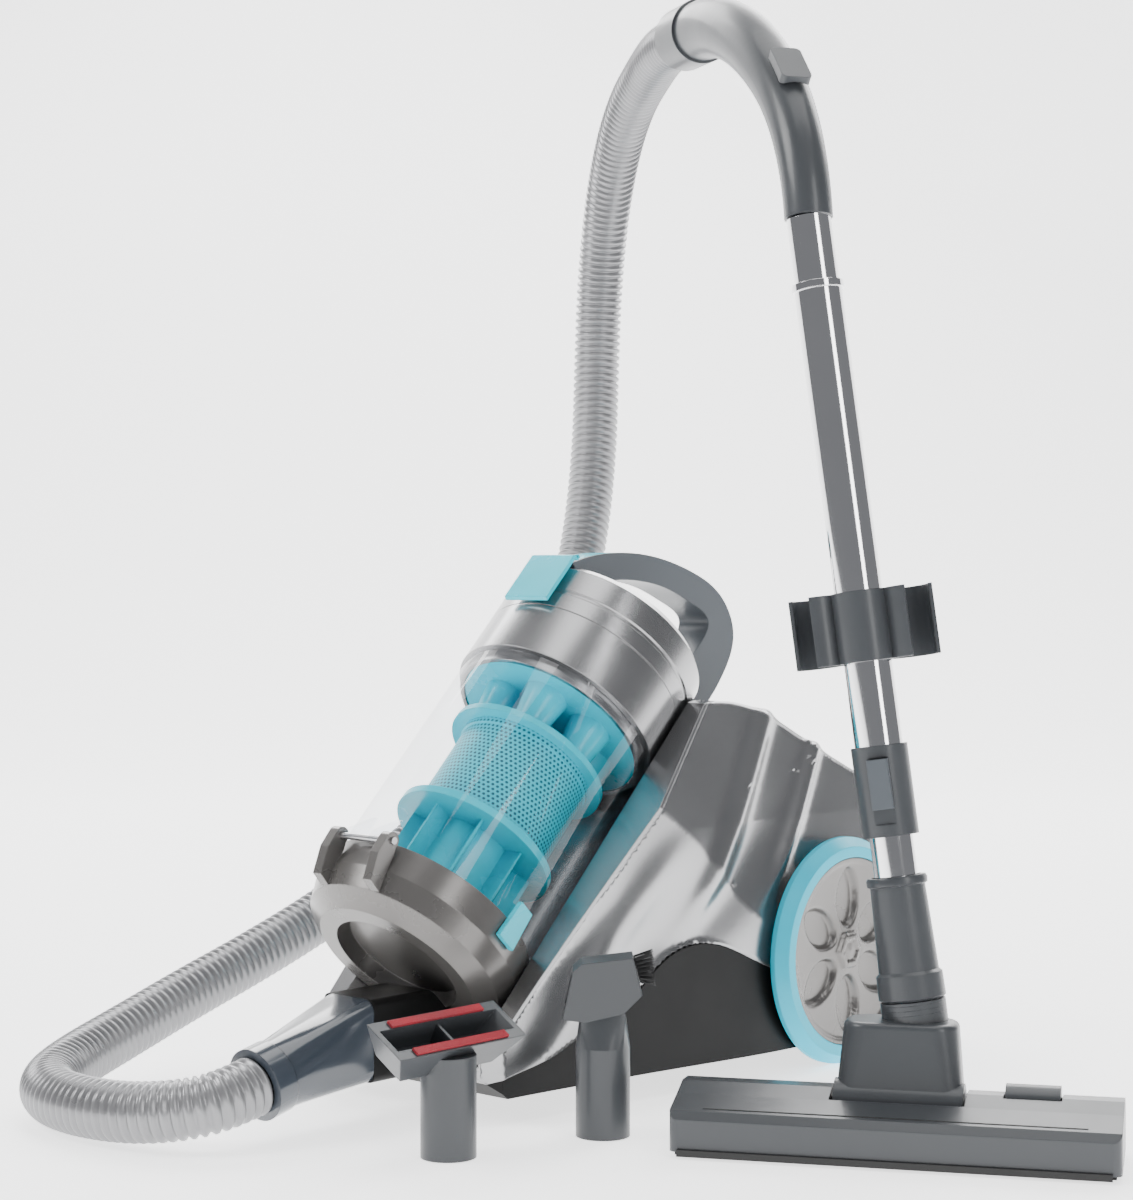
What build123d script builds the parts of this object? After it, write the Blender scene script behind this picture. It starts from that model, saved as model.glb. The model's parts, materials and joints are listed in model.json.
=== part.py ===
from build123d import *
import math
import os

# Bagless canister vacuum cleaner with its hose, telescopic wand, floor head and two standing tools.
# Millimetres, +Z up, standing on Z = 0. The canister faces -Y and its left side is +X.
# The part's origin is the middle of its footprint; each group below has its own datum.

# ------------------------------------------------------------------ driving dimensions
CAN_X, CAN_Y = -168.8, 164.1        # floor point under the rear axle

WALL = 3.0                          # moulded wall of the casings
BODY_HALF = 126.0                   # half the body's width between the wheels
BODY_FRONT, BODY_REAR = -345.0, 150.0
BODY_FLOOR, BODY_TOP = 18.0, 290.0

WHEEL_R = 86.5
WHEEL_IN, WHEEL_OUT = 130.0, 142.0  # inner and outer faces of a rear wheel
HUB_R = 71.5
AXLE_R = 6.0
RUNNING = 0.05                      # radial clearance of a running fit

CASTER_Y, CASTER_TRAIL, CASTER_R = -250.0, 9.0, 12.5
CASTER_WELL_R = 28.0

BIN_LEAN = 45.0                     # the dust bin leans back by this many degrees
BIN_Y, BIN_Z = -327.0, 121.0        # middle of the bin's foot
BIN_R = 81.0                        # lid and base
CUP_R, CUP_WALL = 78.5, 2.5         # clear cylinder
CUP_LOW, CUP_HIGH = 20.0, 204.7
LID_SPLIT, LID_TOP = 247.0, 290.0
CRADLE_V = 37.0                     # the cradle's rim lies this far behind the bin's axis
CRADLE_GAP = 3.0
HINGE_V, HINGE_T, PIN_R = -87.0, 16.0, 2.5
CLAW_X = 25.0
TAB_V, TAB_T, TAB_BORE_R = -84.0, 293.0, 0.9     # hinge of the lid's release tab

NOSE_HALF, NOSE_FRONT, NOSE_LOW, NOSE_HIGH = 25.0, -391.0, 29.0, 86.0
HOSE_R, HOSE_WALL = 20.25, 1.8
CUFF_Y, CUFF_Z, COLLAR_R, COLLAR_LEN = -460.0, 41.5, 25.0, 16.0

MOTOR_X, MOTOR_Z = -50.0, 85.0
REEL_Y, REEL_Z, SPINDLE_R = 40.0, 96.0, 8.0
GLAND_X, GLAND_Z = -40.0, 44.0      # where the mains cord would leave
PEDAL_X, PEDAL_Y = 37.0, 62.0       # middle of the left pedal; the right one mirrors it
PEDAL_STEM_R, BRACKET_Z = 3.0, 179.5

WAND_X, WAND_Y, WAND_Z = 326.4, -190.1, 96.0     # foot of the wand's axis
WAND_DIR = Vector(-0.155, -0.011, 0.988).normalized()
ELBOW_LEN = 80.0
TUBE_IN_R, TUBE_OUT_R, TUBE_WALL = 14.4, 16.0, 1.5
SLEEVE_LOW, SLEEVE_HIGH, SLEEVE_R = 108.0, 168.0, 18.8
TUBE_STEP, WAND_TOP = 478.0, 526.0
CLIP_LOW, CLIP_LEN, CLIP_SIDE = 224.0, 47.0, 31.0

GRIP_DIR = Vector(-0.846, 0.533, 0).normalized()              # the grip's arch runs this way from the wand
SWIVEL_RUN = 222.0                               # from the wand to the swivel at the hose end

HEAD_X, HEAD_Y, HEAD_TURN = 356.0, -258.5, 28.0  # middle of the floor head's front edge
HEAD_HALF = 143.0
HEAD_CORNER = 6.0
NECK_HALF, NECK_Y, NECK_Z, NECK_R = 42.0, 52.0, 30.0, 16.5
NECK_TOP = 84.0
PEDAL_LEFT, PEDAL_RIGHT = 68.0, 103.0
ROCKER_Y, ROCKER_Z = 58.0, 34.0
BRUSH_ROWS = (14.0, 62.0)
ROLLER_Y, ROLLER_R = 73.0, 7.0

TOOL_TUBE_R, TOOL_BORE_R = 18.25, 15.8
UPHOLSTERY_AT = (122.0, -417.4)
UPHOLSTERY_SLANT = 32.0             # its mouth leans to its left by this many degrees
DUSTER_AT = (156.6, -305.6)
DUSTER_FACING = Vector(0.743, 0.669, 0)

# The hose from its collar on the canister to the swivel of the grip, from the canister's datum.
HOSE_ROUTE = [
    (0, -475.59, 37.89), (0, -498.97, 32.47), (-14, -522, 27), (-46, -539, 22.8), (-90, -545, 21.2),
    (-134, -540, 21.2), (-170, -518, 22.3), (-194, -477, 28), (-207, -421, 40), (-214, -358, 58),
    (-213, -295, 78), (-209, -235, 101), (-205, -170, 130), (-201, -105, 166), (-196, -45, 213),
    (-193, 10, 272), (-194, 52, 340), (-200, 80, 410), (-209, 101, 482), (-217, 113, 555),
    (-213, 112, 625), (-190, 95, 690), (-153, 67, 738), (-110, 36, 768), (-68, 8, 783), (-28, -23.5, 789),
    (-3, -39.5, 790), (21, -55, 789),
]

lean = math.radians(BIN_LEAN)
SIN, COS = math.sin(lean), math.cos(lean)


# ------------------------------------------------------------------ planes of each group
def level(z, x=0.0, y=0.0):
    """Horizontal plane at height z, with its origin at x, y from the canister's datum."""
    return Plane(origin=(CAN_X + x, CAN_Y + y, z))


def side(x):
    """Upright plane across X: local x runs rearward, local y up."""
    return Plane(origin=(CAN_X + x, CAN_Y, 0), x_dir=(0, 1, 0), z_dir=(1, 0, 0))


def front(y):
    """Upright plane across Y, facing forward: local x is +X, local y up."""
    return Plane(origin=(CAN_X, CAN_Y + y, 0), x_dir=(1, 0, 0), z_dir=(0, -1, 0))


def bin_level(t):
    """Plane square to the bin's axis, t above its foot: local y points back and down."""
    origin = (CAN_X, CAN_Y + BIN_Y + t * SIN, BIN_Z + t * COS)
    return Plane(origin=origin, x_dir=(1, 0, 0), z_dir=(0, SIN, COS))


def bin_side(x):
    """Upright plane along the bin's axis: local x points back and down, local y along the axis."""
    return Plane(origin=(CAN_X + x, CAN_Y + BIN_Y, BIN_Z), x_dir=(0, COS, -SIN), z_dir=(1, 0, 0))


turn = math.radians(HEAD_TURN)
HEAD_RIGHT = Vector(math.cos(turn), math.sin(turn), 0)
HEAD_BACK = Vector(-math.sin(turn), math.cos(turn), 0)


def head_level(z, x=0.0, y=0.0):
    """Horizontal plane of the floor head: local x to its right, local y to its back."""
    origin = Vector(CAN_X + HEAD_X, CAN_Y + HEAD_Y, z) + HEAD_RIGHT * x + HEAD_BACK * y
    return Plane(origin=origin, x_dir=HEAD_RIGHT, z_dir=(0, 0, 1))


def head_side(x):
    """Upright plane across the floor head: local x to its back, local y up."""
    origin = Vector(CAN_X + HEAD_X, CAN_Y + HEAD_Y, 0) + HEAD_RIGHT * x
    return Plane(origin=origin, x_dir=HEAD_BACK, z_dir=HEAD_RIGHT)


def wand_level(s):
    """Plane square to the wand's axis, s above its foot: local x to the right, local y back."""
    origin = Vector(CAN_X + WAND_X, CAN_Y + WAND_Y, WAND_Z) + WAND_DIR * s
    across = HEAD_RIGHT - WAND_DIR * HEAD_RIGHT.dot(WAND_DIR)
    return Plane(origin=origin, x_dir=across, z_dir=WAND_DIR)


WAND_END = Vector(CAN_X + WAND_X, CAN_Y + WAND_Y, WAND_Z) + WAND_DIR * WAND_TOP
grip_side = Plane(origin=(WAND_END.X, WAND_END.Y, 0), x_dir=GRIP_DIR, z_dir=GRIP_DIR.cross(Vector(0, 0, 1)))

BIN_AXIS = Axis((CAN_X, CAN_Y + BIN_Y, BIN_Z), (0, SIN, COS))
CUFF_DIR = Vector(0, CUFF_Y - NOSE_FRONT, CUFF_Z - (NOSE_LOW + NOSE_HIGH) / 2).normalized()
cuff_plane = Plane(origin=(CAN_X, CAN_Y + CUFF_Y, CUFF_Z), x_dir=(1, 0, 0), z_dir=CUFF_DIR)


def at(plane, u, v):
    """The same plane with its origin moved to u, v in its own axes."""
    return Plane(origin=plane.from_local_coords((u, v, 0)), x_dir=plane.x_dir, z_dir=plane.z_dir)


def save(builder, name):
    """Label a finished piece and write it to its own file."""
    builder.part.label = name
    os.makedirs("parts", exist_ok=True)
    export_step(builder.part, f"parts/{name}.step")


def ring(plane, outer, inner, length):
    """A plain tube standing on a plane, added to the piece being built."""
    with BuildSketch(plane) as section:
        Circle(outer)
        Circle(inner, mode=Mode.SUBTRACT)
    extrude(section.sketch, amount=length)


def disc(plane, radius, length, mode=Mode.ADD):
    """A plain cylinder standing on a plane."""
    with BuildSketch(plane) as section:
        Circle(radius)
    extrude(section.sketch, amount=length, mode=mode)


def block(plane, width, depth, height, mode=Mode.ADD):
    """A plain block standing on a plane, centred on its origin."""
    with BuildSketch(plane) as section:
        Rectangle(width, depth)
    extrude(section.sketch, amount=height, mode=mode)


def strip(plane, points, length, mode=Mode.ADD, both=False):
    """A straight-edged outline pulled square to its plane."""
    with BuildSketch(plane) as section:
        Polygon(*points, align=None)
    extrude(section.sketch, amount=length, both=both, mode=mode)


# ------------------------------------------------------------------ canister casings
# Outline points of the body, each with the direction its inside wall moves in.
BACK_LINE = [(-117, 278.6, 0, -1.41), (-46, 268, 0, -1.1), (10, 240, 0, -1.15), (60, 216, 0, -1.15),
             (111, 186, -0.5, -0.9), (BODY_REAR, 132, -1, -0.3)]
REAR_FOOT = [(BODY_REAR, 40, -1, 0), (142, 25, -0.7, 0.7), (126, BODY_FLOOR, 0, 1)]
UNDER_LINE = [(126, BODY_FLOOR, 0, 1), (-328, BODY_FLOOR, 0.4, 1), (BODY_FRONT, 32, 1, 0.4),
              (BODY_FRONT, 50.6, 1, -0.41), (-117, 278.6, 0, -1.41)]
PLAN_NOSE = [(0, BODY_FRONT, 0, 1), (80, BODY_FRONT, -0.4, 1), (90, -333, -1, 0.4)]
PLAN_SIDE = [(90, -333, -1, 0.4), (99, -250, -1, 0), (114, -150, -1, 0), (125, -75, -1, 0),
             (BODY_HALF, 20, -1, 0), (112, 96, -1, -0.3), (62, BODY_REAR, -0.6, -1)]


def moved(points, inset):
    """Outline points moved inward by the wall they leave outside."""
    return [(u + inset * du, v + inset * dv) for u, v, du, dv in points]


def body_volume(inset):
    """The space the body's casing encloses, shrunk by inset: side, plan and cross outlines meet in it."""
    back, foot = moved(BACK_LINE, inset), moved(REAR_FOOT, inset)
    flank = BODY_HALF + 1.5
    with BuildPart() as volume:
        with BuildSketch(side(-BODY_HALF - 10)):
            with BuildLine():
                Spline(*back)
                Line(back[-1], foot[0])
                ThreePointArc(*foot)
                Polyline(*moved(UNDER_LINE, inset))
            make_face()
        extrude(amount=2 * BODY_HALF + 20)
        with BuildSketch(level(0)):
            with BuildLine() as half:
                Polyline(*moved(PLAN_NOSE, inset))
                Spline(*moved(PLAN_SIDE, inset))
                Line(moved(PLAN_SIDE, inset)[-1], (0, BODY_REAR - inset))
                mirror(half.line, about=Plane.YZ)
            make_face()
        extrude(amount=BODY_TOP + 10, mode=Mode.INTERSECT)
        with BuildSketch(front(BODY_FRONT - 10)):
            Polygon((-flank, 0), (flank, 0), (flank, 95), (112, 190), (88, BODY_TOP + 6),
                    (-88, BODY_TOP + 6), (-112, 190), (-flank, 95), align=None)
            if inset:
                offset(amount=-inset)
        extrude(amount=BODY_FRONT - BODY_REAR - 40, mode=Mode.INTERSECT)
    return volume.part


def below_seam(mode):
    """Everything under the seam between the black lower housing and the silver shell."""
    with BuildSketch(side(-BODY_HALF - 20)) as section:
        with BuildLine():
            Polyline((-400, -5), (-400, 28), (-345, 28), (-302, 42), (-261, 53))
            Spline((-261, 53), (-218, 68), (-186, 95), (-151, 106), (-112, 96), (-62, 75))
            Polyline((-62, 75), (-48, 112), (48, 112), (60, 62), (200, 62), (200, -5), (-400, -5))
        make_face()
    extrude(section.sketch, amount=2 * BODY_HALF + 40, mode=mode)


def nose_hole():
    """The hole the nose inlet passes through."""
    with BuildSketch(front(NOSE_FRONT)) as section:
        with Locations((0, (NOSE_LOW + NOSE_HIGH) / 2)):
            Rectangle(2 * NOSE_HALF, NOSE_HIGH - NOSE_LOW)
    extrude(section.sketch, amount=-97, mode=Mode.SUBTRACT)


def leg_pocket():
    """The pocket behind the lid that the carrying handle's rear leg drops into."""
    strip(bin_side(0), [(60, 257), (116, 257), (116, 330), (60, 330)], 24, Mode.SUBTRACT, both=True)


SCREW_SPOTS = [(-70, -200), (70, -200), (-95, -70), (95, -70), (-60, 110), (60, 110)]


def make_lower_housing(outer, inner):
    with BuildPart() as lower_housing:
        add(outer)
        add(inner, mode=Mode.SUBTRACT)
        below_seam(Mode.INTERSECT)
        nose_hole()
        disc(level(BODY_FLOOR, 0, CASTER_Y), CASTER_WELL_R + WALL, 24)
        disc(level(0, 0, CASTER_Y), CASTER_WELL_R, 39, Mode.SUBTRACT)
        disc(level(38, 0, CASTER_Y), 5 + RUNNING, 10, Mode.SUBTRACT)
        for x in (-BODY_HALF + 0.5, BODY_HALF - 20.5):
            disc(at(side(x), 0, WHEEL_R), 14, 20)
        disc(at(side(-BODY_HALF - 5), 0, WHEEL_R), AXLE_R, 2 * BODY_HALF + 10, Mode.SUBTRACT)
        for x in (31, 94.5):
            strip(side(x), [(REEL_Y - 22, 19), (REEL_Y + 22, 19), (REEL_Y + 14, REEL_Z + 14),
                            (REEL_Y - 14, REEL_Z + 14)], 4.5)
        disc(at(side(31), REEL_Y, REEL_Z), SPINDLE_R, 68)
        for x, y in SCREW_SPOTS:
            disc(level(0, x, y), 2.1, 30, Mode.SUBTRACT)
        disc(at(front(BODY_REAR + 5), GLAND_X, GLAND_Z), 7, 20, Mode.SUBTRACT)
    save(lower_housing, "lower_housing")


def make_upper_shell(outer, inner):
    with BuildPart() as upper_shell:
        add(outer)
        add(inner, mode=Mode.SUBTRACT)
        below_seam(Mode.SUBTRACT)
        strip(bin_side(0), [(-80, -120), (CRADLE_V + WALL, -120), (CRADLE_V + WALL, 320), (-80, 320)],
              BODY_HALF + 20, Mode.SUBTRACT, both=True)
        disc(bin_level(-75), BIN_R + CRADLE_GAP + WALL + 1, 400, Mode.SUBTRACT)
        nose_hole()
        leg_pocket()
        for x in (-PEDAL_X, PEDAL_X):
            block(level(150, x, PEDAL_Y), 48, 64, 120, Mode.SUBTRACT)
        strip(front(BODY_REAR + 5), [(-53, 67), (53, 67), (53, 127), (-53, 127)], 10, Mode.SUBTRACT)
    save(upper_shell, "upper_shell")


def make_cradle(outer):
    with BuildPart() as cradle:
        add(outer)
        with BuildSketch(bin_level(-75)):
            Circle(BIN_R + CRADLE_GAP + WALL)
            with Locations((0, -50 + CRADLE_V)):
                Rectangle(400, 100, mode=Mode.SUBTRACT)
            with Locations((0, CRADLE_V + WALL / 2)):
                Rectangle(300, WALL)
            Circle(BIN_R + CRADLE_GAP, mode=Mode.SUBTRACT)
        extrude(amount=400, mode=Mode.INTERSECT)
        nose_hole()
        leg_pocket()
        strip(bin_side(0), [(84.5, 252), (117, 252), (117, 256), (84.5, 256)], 27, both=True)
        below_seam(Mode.SUBTRACT)
    save(cradle, "cradle")


def make_nose():
    """The block under the bin that the hose plugs into, cut back along the bin's base."""
    middle = (NOSE_LOW + NOSE_HIGH) / 2
    with BuildPart() as nose_inlet:
        with BuildSketch(front(NOSE_FRONT)):
            with Locations((0, middle)):
                RectangleRounded(2 * NOSE_HALF, NOSE_HIGH - NOSE_LOW, 5)
                RectangleRounded(2 * NOSE_HALF - 12, NOSE_HIGH - NOSE_LOW - 12, 4, mode=Mode.SUBTRACT)
        extrude(amount=-95)
        strip(bin_side(0), [(-200, -31), (200, -31), (200, 60), (-200, 60)], 60, Mode.SUBTRACT, both=True)
    save(nose_inlet, "nose_inlet")


# ------------------------------------------------------------------ inside the canister
def make_motor_group():
    centre = Plane(origin=(CAN_X + MOTOR_X, CAN_Y - 70, MOTOR_Z), x_dir=(1, 0, 0), z_dir=(0, 1, 0))
    with BuildPart() as motor_housing:
        ring(centre, 50, 47, 140)
        ring(centre, 50, 22, 3)
        ring(centre.offset(137), 50, 18, 3)
    save(motor_housing, "motor_housing")
    with BuildPart() as motor:
        disc(centre.offset(34), 40, 82)
        disc(centre.offset(34), 4 + RUNNING, 60, Mode.SUBTRACT)
    save(motor, "motor")
    with BuildPart() as fan:
        disc(centre.offset(12), 44, 3)
        disc(centre.offset(12), 9, 14)
        with BuildSketch(centre.offset(15)):
            with PolarLocations(25, 9):
                Rectangle(34, 2)
        extrude(amount=10)
        disc(centre.offset(20), 4, 60)
    save(fan, "fan_impeller")
    with BuildPart() as mounts:
        ring(centre.offset(40), 47, 40, 10)
        ring(centre.offset(98), 47, 40, 10)
    save(mounts, "motor_mounts")
    with BuildPart() as foam:
        block(centre.offset(-26), 96, 96, 22)
    save(foam, "pre_motor_filter")
    with BuildPart() as hepa:
        with BuildSketch(level(70, 0, 132)):
            with BuildLine():
                pleats = [(-50 + 5 * k, 9 if k % 2 else 4) for k in range(21)]
                Polyline(*pleats, (50, -9), (-50, -9), pleats[0])
            make_face()
        extrude(amount=55)
    save(hepa, "hepa_filter")


def make_reel():
    with BuildPart() as cord_reel:
        for x, radius, width in ((38, 66, 3), (41, 30, 48), (89, 66, 3)):
            ring(at(side(x), REEL_Y, REEL_Z), radius, SPINDLE_R + RUNNING, width)
    save(cord_reel, "cord_reel")


def make_pedals():
    """Power and cord-rewind pedals, each on its own coil spring over a shared bracket."""
    near, far, stem_y = PEDAL_Y - 30, PEDAL_Y + 30, PEDAL_Y - 6
    for name, x in (("power", PEDAL_X), ("rewind", -PEDAL_X)):
        with BuildPart() as pedal:
            with BuildSketch(side(x)):
                with BuildLine():
                    Line((near, 214), (near, 234))
                    ThreePointArc((near, 234), (PEDAL_Y + 4, 226), (far, 211))
                    Polyline((far, 211), (far, 194), (PEDAL_Y + 12, 196), (near, 214))
                make_face()
            extrude(amount=22, both=True)
            fillet(pedal.edges().filter_by(Axis.Z), 3)
            disc(level(197.2, x, stem_y), 8, 14)
            disc(level(176, x, stem_y), PEDAL_STEM_R, 25)
        save(pedal, f"{name}_pedal")
        with BuildPart() as spring:
            with BuildLine(level(BRACKET_Z + 3.9, x, stem_y)):
                coil = Helix(pitch=3.2, height=12.8, radius=6)
            with BuildSketch(Plane(origin=coil @ 0, z_dir=coil % 0)):
                Circle(0.7)
            sweep(path=coil)
        save(spring, f"{name}_spring")
    with BuildPart() as bracket:
        block(level(BRACKET_Z, 0, stem_y), 219, 26, 3)
        for x in (-PEDAL_X, PEDAL_X):
            disc(level(BRACKET_Z + 3, x, stem_y), 4.2, 8)
            disc(level(BRACKET_Z - 1.5, x, stem_y), PEDAL_STEM_R + RUNNING, 20, Mode.SUBTRACT)
    save(bracket, "pedal_bracket")


def make_small_fittings():
    with BuildPart() as gland:
        spot = at(front(BODY_REAR + 3), GLAND_X, GLAND_Z)
        ring(spot, 10, 4.2, 2.9)
        ring(spot.offset(2.9), 7, 4.2, 8)
    save(gland, "cord_gland")
    with BuildPart() as screws:
        for x, y in SCREW_SPOTS:
            disc(level(BODY_FLOOR - 2, x, y), 4, 2)
            disc(level(BODY_FLOOR - 2, x, y), 2, 9)
    save(screws, "housing_screws")
    with BuildPart() as axles:
        for x in (-138, 104):
            disc(at(side(x), 0, WHEEL_R), AXLE_R, 34)
    save(axles, "wheel_axles")
    with BuildPart() as exhaust_cover:
        strip(front(BODY_REAR), [(-52, 68), (52, 68), (52, 126), (-52, 126)], 3)
        for row in range(6):
            for x in (-26, 26):
                with BuildSketch(front(BODY_REAR + 1)):
                    with Locations((x, 76 + 8.4 * row)):
                        SlotOverall(44, 4)
                extrude(amount=6, mode=Mode.SUBTRACT)
    save(exhaust_cover, "exhaust_cover")


# ------------------------------------------------------------------ wheels
def make_rear_wheels():
    for name, sign in (("left", 1), ("right", -1)):
        axis = Axis((CAN_X, CAN_Y, WHEEL_R), (1, 0, 0))
        rim = [(WHEEL_IN, HUB_R), (WHEEL_IN, WHEEL_R), (134, WHEEL_R), (WHEEL_OUT, WHEEL_R - 7),
               (WHEEL_OUT, HUB_R)]
        dish = [(131, 0), (131, HUB_R), (141, HUB_R), (138.5, 60), (141, 20), (142.5, 0)]
        with BuildPart() as tyre:
            with BuildSketch(front(0)):
                Polygon(*[(sign * x, WHEEL_R + radius) for x, radius in rim], align=None)
            revolve(axis=axis)
        save(tyre, f"tyre_{name}")
        with BuildPart() as hub:
            with BuildSketch(front(0)):
                Polygon(*[(sign * x, WHEEL_R + radius) for x, radius in dish], align=None)
            revolve(axis=axis)
            with BuildSketch(at(side(sign * 144), 0, WHEEL_R)):
                with PolarLocations(0, 6, start_angle=30):
                    Polygon((24, 0), (58, -17), (62, 0), (58, 17), align=None)
            extrude(amount=-sign * 8.5, mode=Mode.SUBTRACT)
            disc(at(side(sign * 130), 0, WHEEL_R), AXLE_R + RUNNING, sign * 8.2, Mode.SUBTRACT)
        save(hub, f"hub_{name}")


def make_caster():
    with BuildPart() as fork:
        disc(level(33, 0, CASTER_Y), 18, 4)
        disc(level(33, 0, CASTER_Y), 5, 12)
        for x in (-10.5, 10.5):
            block(level(9, x, CASTER_Y + CASTER_TRAIL - 1), 3, 10, 25)
        disc(at(side(-12), CASTER_Y + CASTER_TRAIL, CASTER_R), 2.5, 24)
    save(fork, "caster_fork")
    with BuildPart() as wheel:
        ring(at(side(-8), CASTER_Y + CASTER_TRAIL, CASTER_R), CASTER_R, 2.5 + RUNNING, 16)
        fillet(wheel.edges().filter_by(GeomType.CIRCLE).group_by(SortBy.RADIUS)[-1], 2)
    save(wheel, "caster_wheel")


# ------------------------------------------------------------------ dust bin
def make_bin():
    with BuildPart() as cup:
        ring(bin_level(CUP_LOW), CUP_R, CUP_R - CUP_WALL, CUP_HIGH - CUP_LOW)
        for x in (-12, 12):
            strip(bin_side(x - 3), [(-77, 40), (-77, 24), (-83, 22), (-83, 12), (-91, 12), (-92, 20)], 6)
        disc(at(bin_side(-16), HINGE_V, HINGE_T), PIN_R, 32, Mode.SUBTRACT)
    save(cup, "clear_bin")
    with BuildPart() as pin:
        disc(at(bin_side(-31), HINGE_V, HINGE_T), PIN_R, 62)
    save(pin, "bin_hinge_pin")
    outside = [(0, -16), (44, -16), (48, -27), (62, -27), (76, -17), (BIN_R, -2), (BIN_R, 19.5)]
    inside = [(78, 19.5), (78, 0), (73, -13), (60, -23.5), (51, -23.5), (47, -12.5), (0, -12.5)]
    claw = [(-93, 16), (-92, 2), (-84, -16), (-72, -17), (-76.5, -2), (-79, 10), (-82, 17)]
    with BuildPart() as base:
        with BuildSketch(bin_side(0)):
            Polygon(*outside, *inside, align=None)
        revolve(axis=BIN_AXIS)
        for x in (-CLAW_X, CLAW_X):
            strip(bin_side(x - 4), claw, 8)
            disc(at(bin_side(x - 4), HINGE_V, HINGE_T), 6, 8)
        disc(at(bin_side(-40), HINGE_V, HINGE_T), PIN_R + RUNNING, 80, Mode.SUBTRACT)
    save(base, "bin_base")
    with BuildPart() as latch:
        strip(bin_side(81.4), [(-9, 4), (9, 4), (7, 34), (-7, 34)], 4)
    save(latch, "base_latch")


def handle_volume(crown, hollow, half_width):
    """The carrying handle: its crown, its leg down the back and the finger gap under it."""
    with BuildPart() as volume:
        with BuildSketch(bin_side(0)):
            with BuildLine():
                Spline(*crown)
                Polyline(crown[-1], (84.5, 268), (84.5, LID_TOP), hollow[0])
                Spline(*hollow)
                Line(hollow[-1], crown[0])
            make_face()
        extrude(amount=half_width, both=True)
    return volume.part


def make_lid():
    band_section = [(BIN_R, 205), (BIN_R, LID_SPLIT), (78, LID_SPLIT), (78, 208), (75.4, 208), (75.4, 196),
                    (72, 196), (72, 205)]
    with BuildPart() as band:
        with BuildSketch(bin_side(0)):
            Polygon(*band_section, align=None)
        revolve(axis=BIN_AXIS)
    save(band, "lid_band")
    skirt, under = LID_SPLIT + 0.5, LID_TOP - 3
    cap_section = [(BIN_R, skirt), (BIN_R, 261), (80, 262), (80, 264), (BIN_R, 265), (BIN_R, 285),
                   (77, LID_TOP), (0, LID_TOP), (0, under), (74, under), (78, 283), (78, skirt)]
    with BuildPart() as cap:
        with BuildSketch(bin_side(0)):
            Polygon(*cap_section, align=None)
        revolve(axis=BIN_AXIS)
    save(cap, "lid_cap")
    crown = [(-80, LID_TOP), (-58, 322), (-20, 358), (27, 386), (70, 397), (98, 386), (110, 356), (110, 310),
             (103, 268)]
    hollow = [(66, LID_TOP), (71, 340), (66, 372), (39, 366), (12, 354), (-18, 333), (-42, 308),
              (-52, LID_TOP)]
    inlay = [(-81, LID_TOP), (-74, LID_TOP), (-52, 318), (-16, 353.5), (29, 381), (68, 393), (66, 410),
             (-90, 410)]
    with BuildPart() as handle:
        add(handle_volume(crown, hollow, 15))
        fillet(handle.edges().filter_by(Axis.X), 1)
        strip(bin_side(0), [(v, t + 0.2) for v, t in inlay], 12, Mode.SUBTRACT, both=True)
    save(handle, "carry_handle")
    with BuildPart() as top_inlay:
        add(handle_volume(crown, hollow, 11.6))
        strip(bin_side(0), [(v - 0.2, t + 0.5) for v, t in inlay], 12, Mode.INTERSECT, both=True)
    save(top_inlay, "handle_inlay")
    tab_section = [(-84.4, 247), (-87.4, 248), (-87.4, 291), (-84, 295), (-81.5, 295), (-81.5, 291.5),
                   (-84.4, 290)]
    with BuildPart() as tab:
        strip(bin_side(0), tab_section, 21, both=True)
        disc(at(bin_side(-22), TAB_V, TAB_T), TAB_BORE_R, 44, Mode.SUBTRACT)
    save(tab, "release_tab")


def make_cyclone():
    with BuildPart() as cones:
        disc(bin_level(197), 71.6, 3)
        disc(bin_level(160), 62, 5)
        with Locations(bin_level(164.5)):
            with PolarLocations(40, 6):
                upward = (Align.CENTER, Align.CENTER, Align.MIN)
                Cone(bottom_radius=12, top_radius=17, height=33, align=upward)
    save(cones, "cyclone_cones")
    with BuildPart() as shroud:
        ring(bin_level(86), 51, 48.5, 74)
        middle = bin_level(123)
        for k in range(12):
            angle = math.radians(30 * k)
            outward = middle.x_dir * math.cos(angle) + middle.y_dir * math.sin(angle)
            with BuildSketch(Plane(origin=middle.origin, x_dir=middle.z_dir, z_dir=outward)):
                SlotOverall(58, 12)
            extrude(amount=60, mode=Mode.SUBTRACT)
    save(shroud, "mesh_shroud")
    with BuildPart() as skirt:
        disc(bin_level(80), 62, 6)
        ring(bin_level(30), 34, 31, 50)
        with BuildSketch(bin_level(34)):
            with PolarLocations(41, 8):
                Rectangle(16, 2)
        extrude(amount=46)
    save(skirt, "vane_skirt")


# ------------------------------------------------------------------ hose and its fittings
def corner_radii(points):
    """The largest arc that each corner of a route leaves room for."""
    corners = [Vector(*p) for p in points]
    radii = []
    for before, at, after in zip(corners, corners[1:], corners[2:]):
        first, second = at - before, after - at
        half_turn = math.radians(first.get_angle(second)) / 2
        radii.append(0.45 * min(first.length, second.length) / math.tan(half_turn))
    return radii


def make_hose():
    radii = corner_radii(HOSE_ROUTE)
    with BuildPart() as hose:
        with BuildLine(level(0)) as route:
            FilletPolyline(*HOSE_ROUTE, radius=radii)
        start = route.line @ 0
        with BuildSketch(Plane(origin=start, z_dir=route.line % 0)):
            Circle(HOSE_R)
            Circle(HOSE_R - HOSE_WALL, mode=Mode.SUBTRACT)
        sweep(path=route.line)
    save(hose, "hose")
    section = math.pi * (HOSE_R**2 - (HOSE_R - HOSE_WALL) ** 2)
    length = route.wire().length
    print("hose length", round(length, 1), "volume ratio", round(hose.part.volume / section / length, 4))
    print("hose radii", [round(r) for r in radii])


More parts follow.
